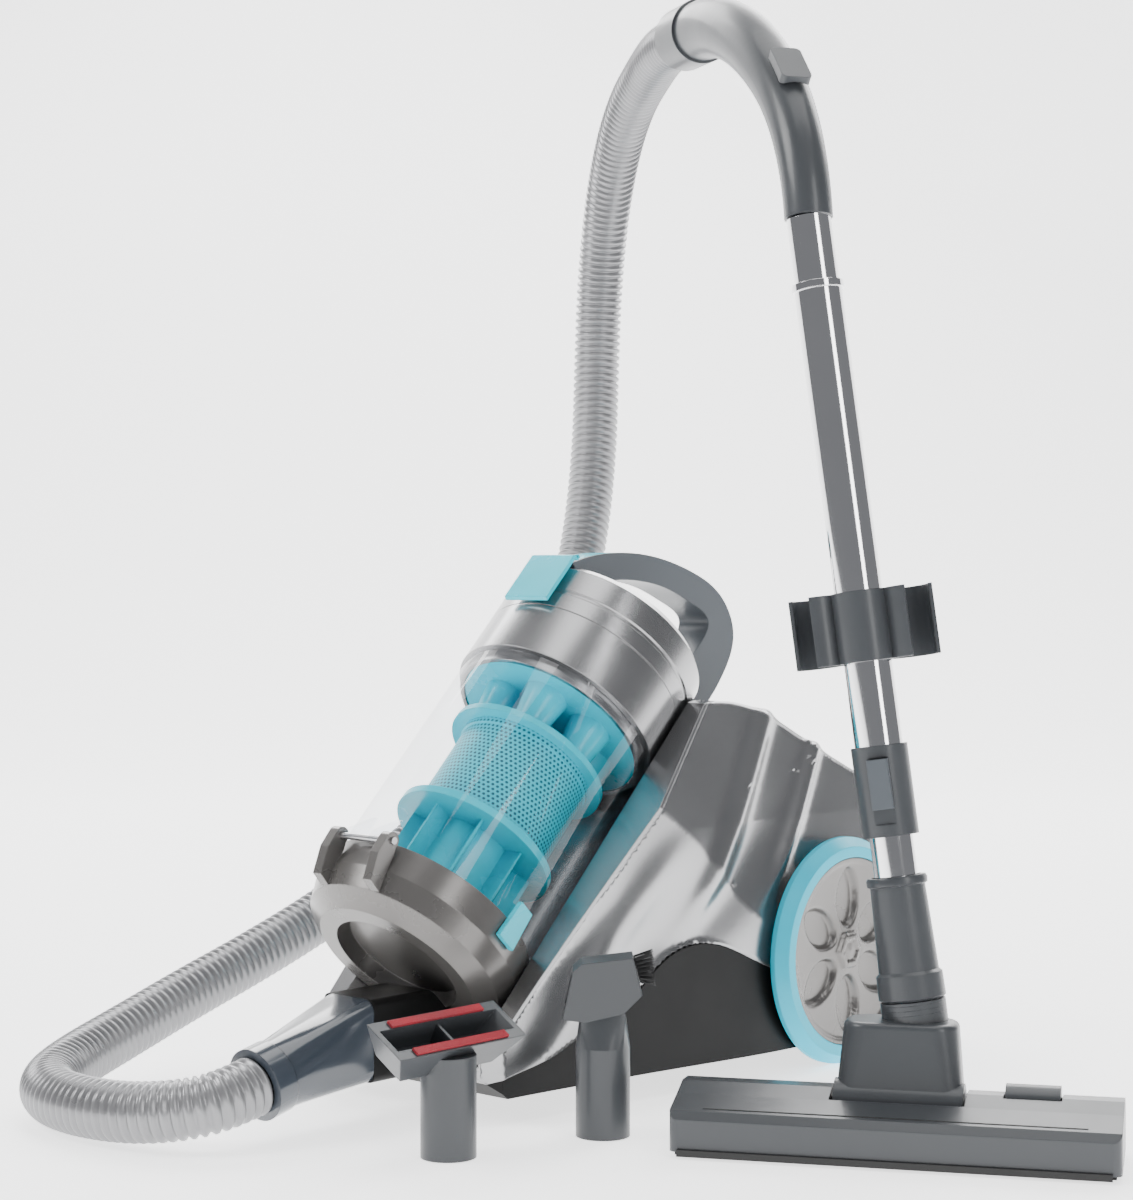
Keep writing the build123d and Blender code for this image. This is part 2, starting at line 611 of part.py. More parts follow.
def make_connector():
    middle = (NOSE_LOW + NOSE_HIGH) / 2
    with BuildPart() as connector:
        for shrink, mode in ((0, Mode.ADD), (3, Mode.SUBTRACT)):
            with BuildSketch(front(NOSE_FRONT)):
                with Locations((0, middle)):
                    RectangleRounded(2 * (NOSE_HALF - shrink), NOSE_HIGH - NOSE_LOW - 2 * shrink, 9 - shrink)
            with BuildSketch(cuff_plane):
                Circle(COLLAR_R - 1.5 - shrink)
            loft(mode=mode)
    save(connector, "hose_connector")
    with BuildPart() as collar:
        ring(cuff_plane, COLLAR_R, HOSE_R - HOSE_WALL, COLLAR_LEN)
    save(collar, "hose_collar")


# ------------------------------------------------------------------ grip and wand
GRIP_LINE = [(0, 0), (11, 38), (38, 81), (83, 120), (135, 149), (190, 167), (SWIVEL_RUN, 171)]


def make_grip():
    foot = WAND_END.Z
    points = [(x, foot + z) for x, z in GRIP_LINE]
    with BuildPart() as grip:
        with BuildLine(grip_side) as arch:
            Spline(*points)
        line = arch.line
        for shrink, mode in ((0, Mode.ADD), (3, Mode.SUBTRACT)):
            for at, radius in ((0, 16.5), (0.35, 18.5), (0.7, 21.5), (1, 22.5)):
                with BuildSketch(Plane(origin=line @ at, z_dir=line % at)):
                    Circle(radius - shrink)
            sweep(path=line, multisection=True, mode=mode)
        disc(wand_level(WAND_TOP - 30), 15, 30, Mode.SUBTRACT)
    save(grip, "grip_tube")
    end = Plane(origin=line @ 1, z_dir=line % 1)
    with BuildPart() as swivel:
        ring(end, 24.5, HOSE_R - HOSE_WALL, 42)
    save(swivel, "swivel_cuff")
    exit_point = line @ 1 + (line % 1) * 42 - Vector(CAN_X, CAN_Y, 0)
    print("hose meets the swivel at", [round(v, 1) for v in exit_point], "heading", line % 1)
    return line


def make_regulator(line):
    """The sliding cover over the grip's air bleed, on the outside of the bend."""
    at = 0.36
    middle, along = line @ at, line % at
    outward = Vector(0, 0, 1) - along * along.Z
    plane = Plane(origin=middle, x_dir=along, z_dir=outward)
    with BuildPart() as regulator:
        with BuildSketch(plane.offset(15)):
            RectangleRounded(36, 22, 4)
        extrude(amount=9.5)
        with BuildSketch(Plane(origin=line @ (at - 0.12), z_dir=line % (at - 0.12))):
            Circle(20.9)
        sweep(path=line, mode=Mode.SUBTRACT)
    save(regulator, "regulator_slide")


def make_wand():
    with BuildPart() as tube:
        with BuildSketch(wand_level(SLEEVE_LOW + 2)):
            Circle(TUBE_OUT_R)
            Circle(TUBE_OUT_R - TUBE_WALL, mode=Mode.SUBTRACT)
        extrude(amount=TUBE_STEP - SLEEVE_LOW - 2)
        ring(wand_level(TUBE_STEP - 2), 17.5, 13, 5)
        ring(wand_level(TUBE_STEP), 15, 13, WAND_TOP - TUBE_STEP)
    save(tube, "upper_tube")
    track = [(-7.5, -SLEEVE_R - 2), (7.5, -SLEEVE_R - 2), (7.5, -17.4), (-7.5, -17.4)]
    with BuildPart() as sleeve:
        ring(wand_level(SLEEVE_LOW), SLEEVE_R, TUBE_OUT_R, SLEEVE_HIGH - SLEEVE_LOW)
        strip(wand_level(SLEEVE_LOW + 8), track, 44, Mode.SUBTRACT)
    save(sleeve, "lock_sleeve")
    with BuildPart() as button:
        strip(wand_level(SLEEVE_LOW + 18), [(-7, -24), (7, -24), (7, -17.7), (-7, -17.7)], 33)
    save(button, "lock_slider")
    with BuildPart() as inner:
        ring(wand_level(ELBOW_LEN - 30), TUBE_IN_R, TUBE_IN_R - 1.4, 380)
    save(inner, "lower_tube")
    with BuildPart() as elbow:
        with BuildSketch(wand_level(0)):
            Circle(20.5)
        with BuildSketch(wand_level(ELBOW_LEN)):
            Circle(18)
        loft()
        disc(wand_level(ELBOW_LEN - 30), TUBE_IN_R, 40, Mode.SUBTRACT)
        disc(wand_level(-5), 13, 60, Mode.SUBTRACT)
    save(elbow, "elbow")


def make_clip():
    """Three spring clips in a row: the middle one grips the wand, the outer two hold tools."""
    with BuildPart() as clip:
        with BuildSketch(wand_level(CLIP_LOW)):
            Circle(TUBE_OUT_R + 3.2)
            for x in (-CLIP_SIDE, CLIP_SIDE):
                with Locations((x, 4)):
                    Circle(17.5)
            Circle(TUBE_OUT_R + RUNNING, mode=Mode.SUBTRACT)
            for x in (-CLIP_SIDE, CLIP_SIDE):
                with Locations((x, 4)):
                    Circle(14.8, mode=Mode.SUBTRACT)
            with Locations((-CLIP_SIDE - 12, -6), (CLIP_SIDE + 12, -6)):
                Rectangle(22, 22, mode=Mode.SUBTRACT)
            with Locations((0, 24)):
                Rectangle(18, 22, mode=Mode.SUBTRACT)
        extrude(amount=CLIP_LEN)
    save(clip, "tool_clip")


# ------------------------------------------------------------------ floor head
def make_neck():
    with BuildPart() as neck:
        disc(at(head_side(-NECK_HALF), NECK_Y, NECK_Z), NECK_R, 2 * NECK_HALF)
        with BuildSketch(head_level(NECK_Z, 0, NECK_Y + 3)):
            RectangleRounded(2 * NECK_HALF, 30, 10)
        with BuildSketch(head_level(NECK_TOP, 0, NECK_Y + 14)):
            RectangleRounded(2 * NECK_HALF - 10, 40, 17)
        loft()
        fillet(neck.faces().sort_by(Axis.Z)[-1].edges(), 4)
        disc(wand_level(-22), 21.5, 21.5)
        disc(wand_level(-60), 13, 70, Mode.SUBTRACT)
        disc(at(head_side(-60), NECK_Y, NECK_Z), 4 + RUNNING, 120, Mode.SUBTRACT)
    save(neck, "neck")


def head_profile():
    """Front face, sloping deck and rounded back of the floor head, seen from its left."""
    Polygon((0, 4), (0, 25), (5, 30), (30, 36), (48, 41), (66, 40), (80, 32), (84, 20), (84, 4), align=None)


def make_head():
    with BuildPart() as cover:
        with BuildSketch(head_side(-HEAD_HALF)):
            head_profile()
        extrude(amount=2 * HEAD_HALF)
        fillet(cover.edges().filter_by(Axis.Z), HEAD_CORNER)
        with BuildSketch(head_side(-HEAD_HALF + 3)):
            head_profile()
            offset(amount=-2.6)
        extrude(amount=2 * HEAD_HALF - 6, mode=Mode.SUBTRACT)
        block(head_level(0, 0, 43), 2 * HEAD_HALF - 6, 77, 8, Mode.SUBTRACT)
        block(head_level(-1, 0, 75), 2 * NECK_HALF + 3, 88, 60, Mode.SUBTRACT)
        pedal_well = head_level(20, (PEDAL_LEFT + PEDAL_RIGHT) / 2, ROCKER_Y)
        block(pedal_well, PEDAL_RIGHT - PEDAL_LEFT + 2, 27, 40, Mode.SUBTRACT)
        for x in (-NECK_HALF - 12, NECK_HALF + 2):
            disc(at(head_side(x), NECK_Y, NECK_Z), 10, 10)
        for x in (-NECK_HALF - 6, NECK_HALF - 6):
            disc(at(head_side(x), NECK_Y, NECK_Z), 4, 12)
    save(cover, "head_cover")
    with BuildPart() as sole:
        block(head_level(1.2, 0, 43), 2 * HEAD_HALF - 7, 76, 2.6)
        for x in (-110, 110):
            block(head_level(0, x, 25), 20, 6, 1.4)
        block(head_level(0, 0, 32), 220, 12, 8, Mode.SUBTRACT)
        for y in BRUSH_ROWS:
            block(head_level(0, 0, y), 2 * HEAD_HALF - 30, 7, 8, Mode.SUBTRACT)
        for x in (-70, 70):
            block(head_level(0, x, ROLLER_Y + 0.5), 14, 15, 8, Mode.SUBTRACT)
    save(sole, "head_sole")
    with BuildPart() as brushes:
        for y in BRUSH_ROWS:
            block(head_level(6.5, 0, y), 2 * HEAD_HALF - 34, 4, 8)
    save(brushes, "brush_strips")
    with BuildPart() as rollers:
        for x in (-70, 70):
            disc(at(head_side(x - 5), ROLLER_Y, ROLLER_R), ROLLER_R, 10)
        disc(at(head_side(-70), ROLLER_Y, ROLLER_R), 1.5, 140)
    save(rollers, "head_rollers")
    with BuildPart() as pedal:
        with BuildSketch(head_side(PEDAL_LEFT)):
            with BuildLine():
                ThreePointArc((46, 40), (58, 47), (70, 40))
                Polyline((70, 40), (68, 33), (48, 33), (46, 40))
            make_face()
        extrude(amount=PEDAL_RIGHT - PEDAL_LEFT)
        disc(at(head_side(PEDAL_LEFT), ROCKER_Y, ROCKER_Z), 3, PEDAL_RIGHT - PEDAL_LEFT)
    save(pedal, "head_pedal")


# ------------------------------------------------------------------ tools standing on the floor
def make_upholstery_tool():
    x, y = UPHOLSTERY_AT
    slant = math.radians(UPHOLSTERY_SLANT)
    mouth_dir = Vector(math.sin(slant), 0, math.cos(slant))
    tilt = Plane(origin=(CAN_X + x, CAN_Y + y, 82), x_dir=(0, 1, 0), z_dir=mouth_dir)
    with BuildPart() as tool:
        disc(level(0, x, y), TOOL_TUBE_R, 66)
        with BuildSketch(tilt):
            Rectangle(116, 36)
        with BuildSketch(tilt.offset(-24)):
            Rectangle(84, 26)
        loft()
        with BuildSketch(tilt.offset(1)):
            Rectangle(108, 20)
        with BuildSketch(tilt.offset(-17)):
            Rectangle(80, 16)
        loft(mode=Mode.SUBTRACT)
        disc(level(-1, x, y), TOOL_BORE_R, 58, Mode.SUBTRACT)
        disc(level(40, x, y), 9, 32, Mode.SUBTRACT)
        block(tilt.offset(-16), 2.4, 22, 13)
        for v in (-13.5, 13.5):
            with BuildSketch(tilt.offset(-0.8)):
                with Locations((0, v)):
                    Rectangle(84, 6)
            extrude(amount=5, mode=Mode.SUBTRACT)
    save(tool, "upholstery_tool")
    with BuildPart() as lint:
        for v in (-13.5, 13.5):
            with BuildSketch(tilt.offset(-0.8)):
                with Locations((0, v)):
                    Rectangle(83.6, 5.6)
            extrude(amount=2.4)
    save(lint, "lint_strips")


def make_duster():
    x, y = DUSTER_AT
    across = DUSTER_FACING
    upright = Plane(origin=(CAN_X + x, CAN_Y + y, 0), x_dir=across, z_dir=across.cross(Vector(0, 0, 1)))
    throat = [(-27, 80), (-20, 112), (-14, 117), (20, 121), (26, 96), (14, 84), (-12, 78)]
    with BuildPart() as tool:
        disc(level(0, x, y), TOOL_TUBE_R, 60)
        with BuildSketch(level(60, x, y)):
            Circle(TOOL_TUBE_R)
        with BuildSketch(Plane(origin=(CAN_X + x, CAN_Y + y, 84), x_dir=across)):
            Rectangle(30, 24)
        loft()
        strip(upright, throat, 15, both=True)
        strip(upright, [(-30, 86), (-12, 88), (-8, 108), (-30, 108)], 11.5, Mode.SUBTRACT, both=True)
        disc(level(-1, x, y), TOOL_BORE_R, 58, Mode.SUBTRACT)
        disc(level(50, x, y), 9, 48, Mode.SUBTRACT)
    save(tool, "dusting_tool")
    with BuildPart() as bristles:
        strip(upright, [(24.3, 104), (36, 101), (34, 124), (20.6, 119)], 12, both=True)
    save(bristles, "duster_bristles")


def main():
    outer, inner = body_volume(0), body_volume(WALL)
    make_lower_housing(outer, inner)
    make_upper_shell(outer, inner)
    make_cradle(outer)
    make_nose()
    make_motor_group()
    make_reel()
    make_pedals()
    make_small_fittings()
    make_rear_wheels()
    make_caster()
    make_bin()
    make_lid()
    make_cyclone()
    make_hose()
    make_connector()
    line = make_grip()
    make_regulator(line)
    make_wand()
    make_clip()
    make_neck()
    make_head()
    make_upholstery_tool()
    make_duster()


main()
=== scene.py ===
import json
import math
import random
import bpy
import bmesh
from mathutils import Matrix, Vector


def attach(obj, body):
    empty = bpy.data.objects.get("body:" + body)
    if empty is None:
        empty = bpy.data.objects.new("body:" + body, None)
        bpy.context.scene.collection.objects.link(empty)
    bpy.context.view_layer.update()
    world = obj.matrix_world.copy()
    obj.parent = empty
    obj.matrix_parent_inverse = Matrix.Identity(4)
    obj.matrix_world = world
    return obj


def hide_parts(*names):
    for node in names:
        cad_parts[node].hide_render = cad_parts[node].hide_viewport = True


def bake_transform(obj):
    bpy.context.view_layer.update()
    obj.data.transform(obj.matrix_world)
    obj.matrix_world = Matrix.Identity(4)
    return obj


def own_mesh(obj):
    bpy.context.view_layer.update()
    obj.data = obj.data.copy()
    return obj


# Metres, +Z up. The canister faces -Y; CAN is the floor point under its rear axle.
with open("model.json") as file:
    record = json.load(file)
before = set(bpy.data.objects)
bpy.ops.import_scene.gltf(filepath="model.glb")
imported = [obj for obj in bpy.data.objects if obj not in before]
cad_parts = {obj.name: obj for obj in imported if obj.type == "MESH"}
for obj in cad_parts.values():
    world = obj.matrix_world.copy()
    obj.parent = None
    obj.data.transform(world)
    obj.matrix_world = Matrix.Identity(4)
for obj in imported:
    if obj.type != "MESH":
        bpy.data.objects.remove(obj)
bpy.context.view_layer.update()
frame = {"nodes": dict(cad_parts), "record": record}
CAN = Vector((-0.1688, 0.1641, 0.0))
# CYAN is the drum's own colour; HOLE_SHADE_CYAN is painted shade, the dark inside seen through the drum's
# holes.
CYAN, HOLE_SHADE_CYAN = (0.004, 0.56, 0.7), (0.001, 0.09, 0.13)

# The photograph's camera, turned by VIEW_TURN from the canister's front.
VIEW_TURN = math.radians(42)
CAMERA_AT = CAN + Vector((1.2547, -1.5615, 0.385))
CAMERA_TILT = math.radians(90 - 0.917)

# The silver shell: how finely its mesh is cut, and the relief of its flanks.
SHELL_EDGE, MOST_CUTS, WELD = 0.005, 8, 1e-6
SHELL_TOP, RIDGE_SLANT = 0.272, 0.75
FIRST_RIDGE, SECOND_RIDGE, FRONT_FOLD, WAIST_DEPTH = 0.0055, 0.005, 0.006, 0.004
PUSH_Y, PUSH_Z = 0.4, 0.6

# Rear wheels: how far out the hub's face and its back plate stand, and the relief of the face.
WHEEL_R, HUB_R = 0.0865, 0.0715
HUB_FACE_X, HUB_BACK_X, HUB_DEPTH = 0.1402, 0.1312, 0.009
HUB_RINGS, HUB_SPOKES = 60, 180
BORE_R, PLATE_R, PLATE_DEPTH = 0.0065, HUB_R - 0.0002, 0.002
PETAL_SECTOR, PETAL_HALF, PETAL_START = math.pi / 3, 0.0135, 0.018
PETAL_LENGTH, PETAL_DEPTH = 0.046, 0.0052
BOSS_HALF, BOSS_HEIGHT, DIMPLE_HALF, DIMPLE_DEPTH = 0.0135, 0.0025, 0.008, 0.0015
DISH_DEPTH, RIM_HEIGHT = 0.0025, 0.0012

# Dust bin, measured along its leaning axis: the clear cup, its hinge lugs and the drum inside it.
BIN_Y, BIN_Z, LEAN = -0.327, 0.121, math.radians(45)
CUP_R, CUP_FOOT_R, CUP_LOW, CUP_TOP = 0.0785, 0.0762, 0.0205, 0.2047
LUG_X, LUG_HALF = 0.012, 0.003
LUG_SECTION = ((-CUP_R, 0.024), (-CUP_R, 0.040), (-0.0915, 0.020), (-0.0905, 0.0125))
DRUM_FOOT, DRUM_TOP = 0.086, 0.074
DRUM_R, DRUM_RIM_R, DRUM_BORE_R = 0.051, 0.0525, 0.049
HOLE_PITCH, HOLE_SHARE, ROW_SHARE = 0.0038, 0.3, 0.87

# Wand: its foot on the canister, its lean, and the trim of its elbow as (radius, height).
WAND_FOOT = CAN + Vector((0.3264, -0.1901, 0.096))
WAND_DIR = Vector((-0.155, -0.011, 0.988)).normalized()
LIP_ALONG = 0.0745
LIP_PROFILE = [(0.0176, 0.0), (0.0200, 0.0012), (0.0202, 0.005), (0.0192, 0.0068), (0.0166, 0.007)]
BAND_PROFILE = [(0.0204, 0.0), (0.0222, 0.0015), (0.0219, 0.017), (0.0198, 0.019)]
SWIVEL_R, SWIVEL_RIB, SWIVEL_LOW, SWIVEL_STEP, SWIVEL_RINGS = 0.0205, 0.0012, -0.0105, 0.0016, 7

# Floor head, from the middle of its front edge: the seal along it, and the crease across its deck drawn as a
# thin dark strip of painted shade.
HEAD_FRONT = CAN + Vector((0.356, -0.2585, 0.0))
HEAD_TURN = math.radians(28)
HEAD_RIGHT = Vector((math.cos(HEAD_TURN), math.sin(HEAD_TURN), 0))
HEAD_BACK = Vector((-math.sin(HEAD_TURN), math.cos(HEAD_TURN), 0))
SEAL_HALF, SEAL_FRONT, SEAL_LOW, SEAL_TOP = 0.1372, -0.0022, 0.0015, 0.006
CREASE_HALF, CREASE_FRONT, CREASE_BACK = 0.122, 0.0085, 0.0095
CREASE_LOW, CREASE_TOP = 0.0298, 0.0303
DECK_START, DECK_SLOPE = 0.005, 0.24

# The dusting tool's tuft: its place and facing, and the lines that its roots and tips lie on.
DUSTER_AT = CAN + Vector((0.1566, -0.3056, 0))
DUSTER_ACROSS, DUSTER_NORMAL = Vector((0.743, 0.669, 0)), Vector((0.669, -0.743, 0))
FIRST_ROOT, LAST_ROOT = Vector((0.0245, 0, 0.1045)), Vector((0.0208, 0, 0.1185))
FIRST_TIP, LAST_TIP = Vector((0.0352, 0, 0.1022)), Vector((0.0335, 0, 0.1232))
TUFT_COLUMNS, TUFT_ROWS, TUFT_STRANDS = 7, 9, 3
TUFT_WIDTH, TUFT_FLARE, STRAND_R = 0.0215, 1.02, 0.00035

# Studio: a floor that curves up into a wall.
FLOOR_FRONT, FLOOR_BACK, FLOOR_DROP, HALF_WIDTH = -4.0, 2.2, 0.0004, 6.0
CURVE_R, WALL_Y, WALL_TOP = 1.2, 3.4, 5.0
LAMP_AIM = Vector((0, 0.1, 0.3))

# Hose: its ribs, and its route in millimetres from CAN.
HOSE_DIAMETER, HOSE_PITCH, RIB_DEPTH = 0.0405, 0.0064, 0.0026
HOSE_SIDES, HOSE_SAMPLES = 40, 400
RIB_WAVE = (0.0, 0.35, 0.9, 1.0, 0.9, 0.35)
HOSE_ROUTE = [
    (0, -475.59, 37.89), (0, -498.97, 32.47), (-14, -522, 27), (-46, -539, 22.8), (-90, -545, 21.2),
    (-134, -540, 21.2), (-170, -518, 22.3), (-194, -477, 28), (-207, -421, 40), (-214, -358, 58),
    (-213, -295, 78), (-209, -235, 101), (-205, -170, 130), (-201, -105, 166), (-196, -45, 213),
    (-193, 10, 272), (-194, 52, 340), (-200, 80, 410), (-209, 101, 482), (-217, 113, 555),
    (-213, 112, 625), (-190, 95, 690), (-153, 67, 738), (-110, 36, 768), (-68, 8, 783), (-28, -23.5, 789),
    (-3, -39.5, 790), (21, -55, 789),
]
random.seed(7)


# ------------------------------------------------------------------ camera
def make_camera():
    data = bpy.data.cameras.new("camera")
    data.lens = 75
    data.sensor_width = 36
    camera = bpy.data.objects.new("camera", data)
    bpy.context.collection.objects.link(camera)
    camera.location = CAMERA_AT
    camera.rotation_euler = (CAMERA_TILT, 0, VIEW_TURN)
    bpy.context.scene.camera = camera


# ------------------------------------------------------------------ materials
def nodes_of(name):
    material = bpy.data.materials.new(name)
    material.use_nodes = True
    tree = material.node_tree
    tree.nodes.clear()
    return material, tree, tree.nodes.new("ShaderNodeOutputMaterial")


def add_noise(tree, scale, detail=2.0):
    where = tree.nodes.new("ShaderNodeTexCoord")
    texture = tree.nodes.new("ShaderNodeTexNoise")
    texture.inputs["Scale"].default_value = scale
    texture.inputs["Detail"].default_value = detail
    tree.links.new(where.outputs["Object"], texture.inputs["Vector"])
    return texture.outputs["Fac"]


def ranged(tree, value, low, high):
    node = tree.nodes.new("ShaderNodeMapRange")
    node.inputs["From Min"].default_value = 0.3
    node.inputs["From Max"].default_value = 0.7
    node.inputs["To Min"].default_value = low
    node.inputs["To Max"].default_value = high
    tree.links.new(value, node.inputs["Value"])
    return node.outputs["Result"]


def mixed(tree, factor, low, high):
    node = tree.nodes.new("ShaderNodeMix")
    node.data_type = "RGBA"
    node.inputs[6].default_value = (*low, 1)
    node.inputs[7].default_value = (*high, 1)
    tree.links.new(factor, node.inputs[0])
    return node.outputs[2]


def shade(color, amount):
    return tuple(min(1.0, c * amount) for c in color)


def math_node(tree, kind, first, second=None):
    """One calculation on numbers or node outputs."""
    node = tree.nodes.new("ShaderNodeMath")
    node.operation = kind
    for slot, value in enumerate((first, second)):
        if value is None:
            continue
        if isinstance(value, (int, float)):
            node.inputs[slot].default_value = value
        else:
            tree.links.new(value, node.inputs[slot])
    return node.outputs["Value"]


def plastic(name, color, rough, metallic=0.0, grain=1400.0, bump=0.12, mottle=0.04, coat=0.0,
            bevel=0.0007, sheen=0.0, height=0.0001, wander=0.1, specular=0.5):
    """A moulded surface: fine grain, slow change of tone and gloss, and softened edges."""
    material, tree, out = nodes_of(name)
    surface = tree.nodes.new("ShaderNodeBsdfPrincipled")
    fine, slow = add_noise(tree, grain), add_noise(tree, 22.0, 4.0)
    low, high = shade(color, 1 - mottle), shade(color, 1 + mottle)
    tree.links.new(mixed(tree, ranged(tree, slow, 0.0, 1.0), low, high), surface.inputs["Base Color"])
    gloss = ranged(tree, slow, rough * (1 - wander), rough * (1 + wander))
    tree.links.new(gloss, surface.inputs["Roughness"])
    surface.inputs["Specular IOR Level"].default_value = specular
    surface.inputs["Metallic"].default_value = metallic
    surface.inputs["Coat Weight"].default_value = coat
    surface.inputs["Coat Roughness"].default_value = 0.12
    surface.inputs["Sheen Weight"].default_value = sheen
    relief = tree.nodes.new("ShaderNodeBump")
    relief.inputs["Strength"].default_value = bump
    relief.inputs["Distance"].default_value = height
    tree.links.new(fine, relief.inputs["Height"])
    if bevel:
        edge = tree.nodes.new("ShaderNodeBevel")
        edge.samples = 3
        edge.inputs["Radius"].default_value = bevel
        tree.links.new(edge.outputs["Normal"], relief.inputs["Normal"])
    tree.links.new(relief.outputs["Normal"], surface.inputs["Normal"])
    tree.links.new(surface.outputs["BSDF"], out.inputs["Surface"])
    return material


def clear(name, tint, ior):
    """Thin clear moulding: see-through, with a Fresnel reflection on front faces only."""
    material, tree, out = nodes_of(name)
    through = tree.nodes.new("ShaderNodeBsdfTransparent")
    gloss = tree.nodes.new("ShaderNodeBsdfGlossy")
    fresnel = tree.nodes.new("ShaderNodeFresnel")
    mix = tree.nodes.new("ShaderNodeMixShader")
    relief = tree.nodes.new("ShaderNodeBump")
    relief.inputs["Strength"].default_value = 0.15
    relief.inputs["Distance"].default_value = 0.0004
    tree.links.new(add_noise(tree, 18.0), relief.inputs["Height"])
    slow = add_noise(tree, 30.0, 3.0)
    tone = mixed(tree, ranged(tree, slow, 0.0, 1.0), shade(tint, 0.96), tint)
    tree.links.new(tone, through.inputs["Color"])
    tree.links.new(ranged(tree, slow, 0.02, 0.07), gloss.inputs["Roughness"])
    fresnel.inputs["IOR"].default_value = ior
    tree.links.new(relief.outputs["Normal"], fresnel.inputs["Normal"])
    tree.links.new(relief.outputs["Normal"], gloss.inputs["Normal"])
    facing = tree.nodes.new("ShaderNodeNewGeometry")
    outer = math_node(tree, "SUBTRACT", 1.0, facing.outputs["Backfacing"])
    tree.links.new(math_node(tree, "MULTIPLY", fresnel.outputs["Fac"], outer), mix.inputs[0])
    tree.links.new(through.outputs["BSDF"], mix.inputs[1])
    tree.links.new(gloss.outputs["BSDF"], mix.inputs[2])
    tree.links.new(mix.outputs["Shader"], out.inputs["Surface"])
    return material


def perforated(name, color, hole_shade, pitch, radius, hole):
    """Rows of small round holes around a cylinder that stands on its own Z; the holes are painted shade, dots
    of a dark colour on the solid skin.
    """
    material, tree, out = nodes_of(name)
    surface = tree.nodes.new("ShaderNodeBsdfPrincipled")
    where = tree.nodes.new("ShaderNodeTexCoord")
    split = tree.nodes.new("ShaderNodeSeparateXYZ")
    tree.links.new(where.outputs["Object"], split.inputs["Vector"])

    def calc(kind, first, second=None):
        return math_node(tree, kind, first, second)

    turned = calc("ARCTAN2", split.outputs["Y"], split.outputs["X"])
    around = calc("MULTIPLY", turned, radius / pitch)
    along = calc("DIVIDE", split.outputs["Z"], pitch * ROW_SHARE)
    stagger = calc("MULTIPLY", calc("MODULO", calc("FLOOR", along), 2.0), 0.5)
    across = calc("SUBTRACT", calc("FRACT", calc("ADD", around, stagger)), 0.5)
    upward = calc("SUBTRACT", calc("FRACT", along), 0.5)
    squared = calc("ADD", calc("MULTIPLY", across, across), calc("MULTIPLY", upward, upward))
    # Spots inside a hole get the dark colour: painted shade in place of an opening.
    inside = calc("LESS_THAN", calc("SQRT", squared), hole)
    slow = ranged(tree, add_noise(tree, 26.0), 0.0, 1.0)
    base = mixed(tree, slow, shade(color, 0.95), color)
    paint = tree.nodes.new("ShaderNodeMix")
    paint.data_type = "RGBA"
    tree.links.new(inside, paint.inputs[0])
    tree.links.new(base, paint.inputs[6])
    paint.inputs[7].default_value = (*hole_shade, 1)
    tree.links.new(paint.outputs[2], surface.inputs["Base Color"])
    surface.inputs["Roughness"].default_value = 0.4
    tree.links.new(surface.outputs["BSDF"], out.inputs["Surface"])
    return material


def make_materials():
    return {
        "black_housing": plastic("black_housing", (0.004, 0.0041, 0.0043), 0.42, specular=0.22),
        "silver_shell": plastic("silver_shell", (0.36, 0.36, 0.366), 0.25, metallic=0.92, grain=2600,
                                bump=0.02,
                                coat=0.3, bevel=0.0012, mottle=0.012, wander=0.03),
        "grey_plastic": plastic("grey_plastic", (0.045, 0.049, 0.054), 0.36, bump=0.2, bevel=0.0012,
                                coat=0.15,
                                specular=0.4),
        "handle_grey": plastic("handle_grey", (0.075, 0.086, 0.098), 0.36, bevel=0.0015, mottle=0.015,
                               wander=0.03),
        "warm_grey": plastic("warm_grey", (0.16, 0.153, 0.147), 0.28, metallic=0.6, bevel=0.0012, coat=0.2,
                             mottle=0.02, wander=0.05),
        "cyan_plastic": plastic("cyan_plastic", CYAN, 0.26, bevel=0.001, coat=0.15, specular=0.35),
        "clear_plastic": clear("clear_plastic", (0.955, 0.965, 0.975), 1.5),
        "smoked_plastic": plastic("smoked_plastic", (0.04, 0.05, 0.065), 0.14, coat=0.7, bevel=0.0015,
                                  bump=0.04),
        "hose_skin": plastic("hose_skin", (0.27, 0.27, 0.278), 0.3, metallic=0.5, grain=900, bump=0.15,
                             bevel=0,
                             mottle=0.08),
        "chrome": plastic("chrome", (0.9, 0.9, 0.91), 0.07, metallic=1.0, grain=300, bump=0.006, mottle=0.02,
                          bevel=0.0006),
        "steel": plastic("steel", (0.5, 0.5, 0.51), 0.3, metallic=1.0, bevel=0),
        "lint_red": plastic("lint_red", (0.36, 0.004, 0.018), 0.9, grain=2600, bump=0.9, mottle=0.25, bevel=0,
                            sheen=0.12, height=0.0006),
        "bristle": plastic("bristle", (0.01, 0.0105, 0.011), 0.5, grain=3000, bump=0.6, mottle=0.3, bevel=0,
                           height=0.0005),
        "foam": plastic("foam", (0.06, 0.06, 0.06), 0.95, grain=700, bump=0.9, mottle=0.3, bevel=0,
                        height=0.001),
        "filter_paper": plastic("filter_paper", (0.8, 0.8, 0.76), 0.9, grain=1800, bump=0.4, bevel=0),
        "motor_metal": plastic("motor_metal", (0.2, 0.2, 0.21), 0.45, metallic=0.6),
        "rubber": plastic("rubber", (0.012, 0.012, 0.012), 0.6, bump=0.4, mottle=0.15),
        "tyre_cyan": plastic("tyre_cyan", (0.002, 0.5, 0.68), 0.34, bump=0.15, bevel=0.0015, specular=0.35),
    }


def dress_frame(materials):
    """Gives every CAD node the finish of its slot."""
    for entry in frame["record"]["subparts"]:
        mesh = frame["nodes"][entry["node"]].data
        mesh.materials.clear()
        mesh.materials.append(materials[entry["material_slot"]])


